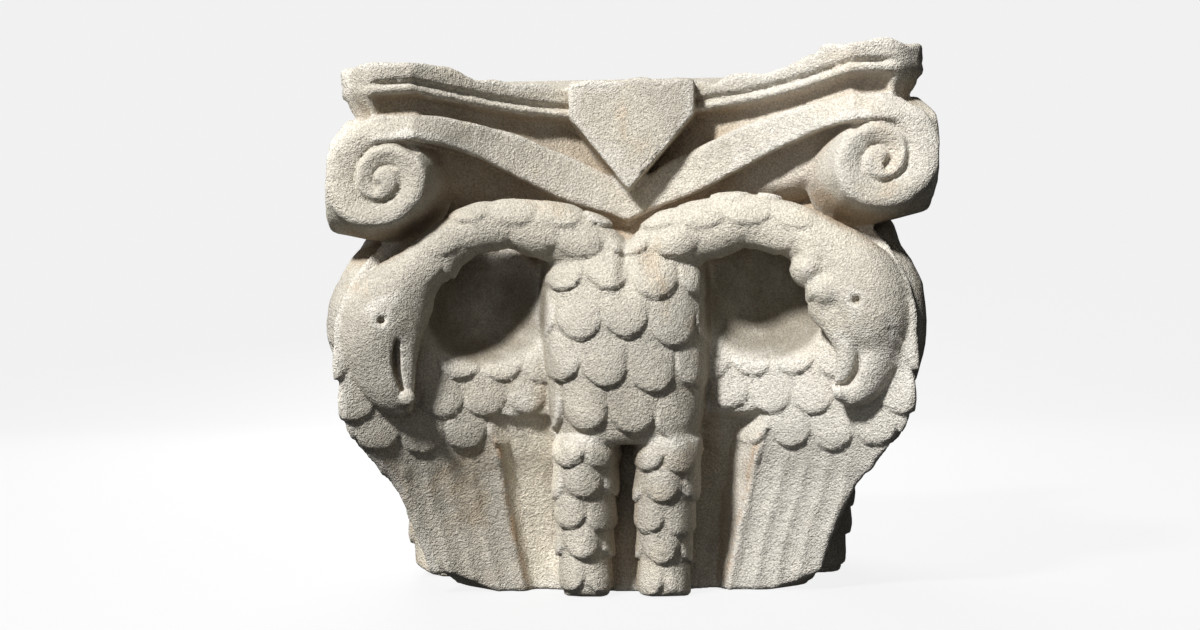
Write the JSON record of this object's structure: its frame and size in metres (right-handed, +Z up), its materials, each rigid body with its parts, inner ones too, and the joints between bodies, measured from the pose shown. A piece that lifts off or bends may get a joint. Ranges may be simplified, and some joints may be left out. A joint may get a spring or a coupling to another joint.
{
  "type": "figured capital",
  "caption": "Square carved stone capital: paired birds with bowed necks and scaled breasts on each face, corner volutes and a hollow-sided moulded abacus.",
  "frame": {"origin": "middle of the flat underside", "axes": "+Z up towards the top bed, the best-kept face looks along -Y, +X to its right"},
  "size_m": [0.4025, 0.3976, 0.362],
  "materials": {
    "stone": "weathered sugary marble, matt, with brown patina in the hollows"
  },
  "bodies": {
    "root": {"capital": "stone"}
  },
  "joints": []
}
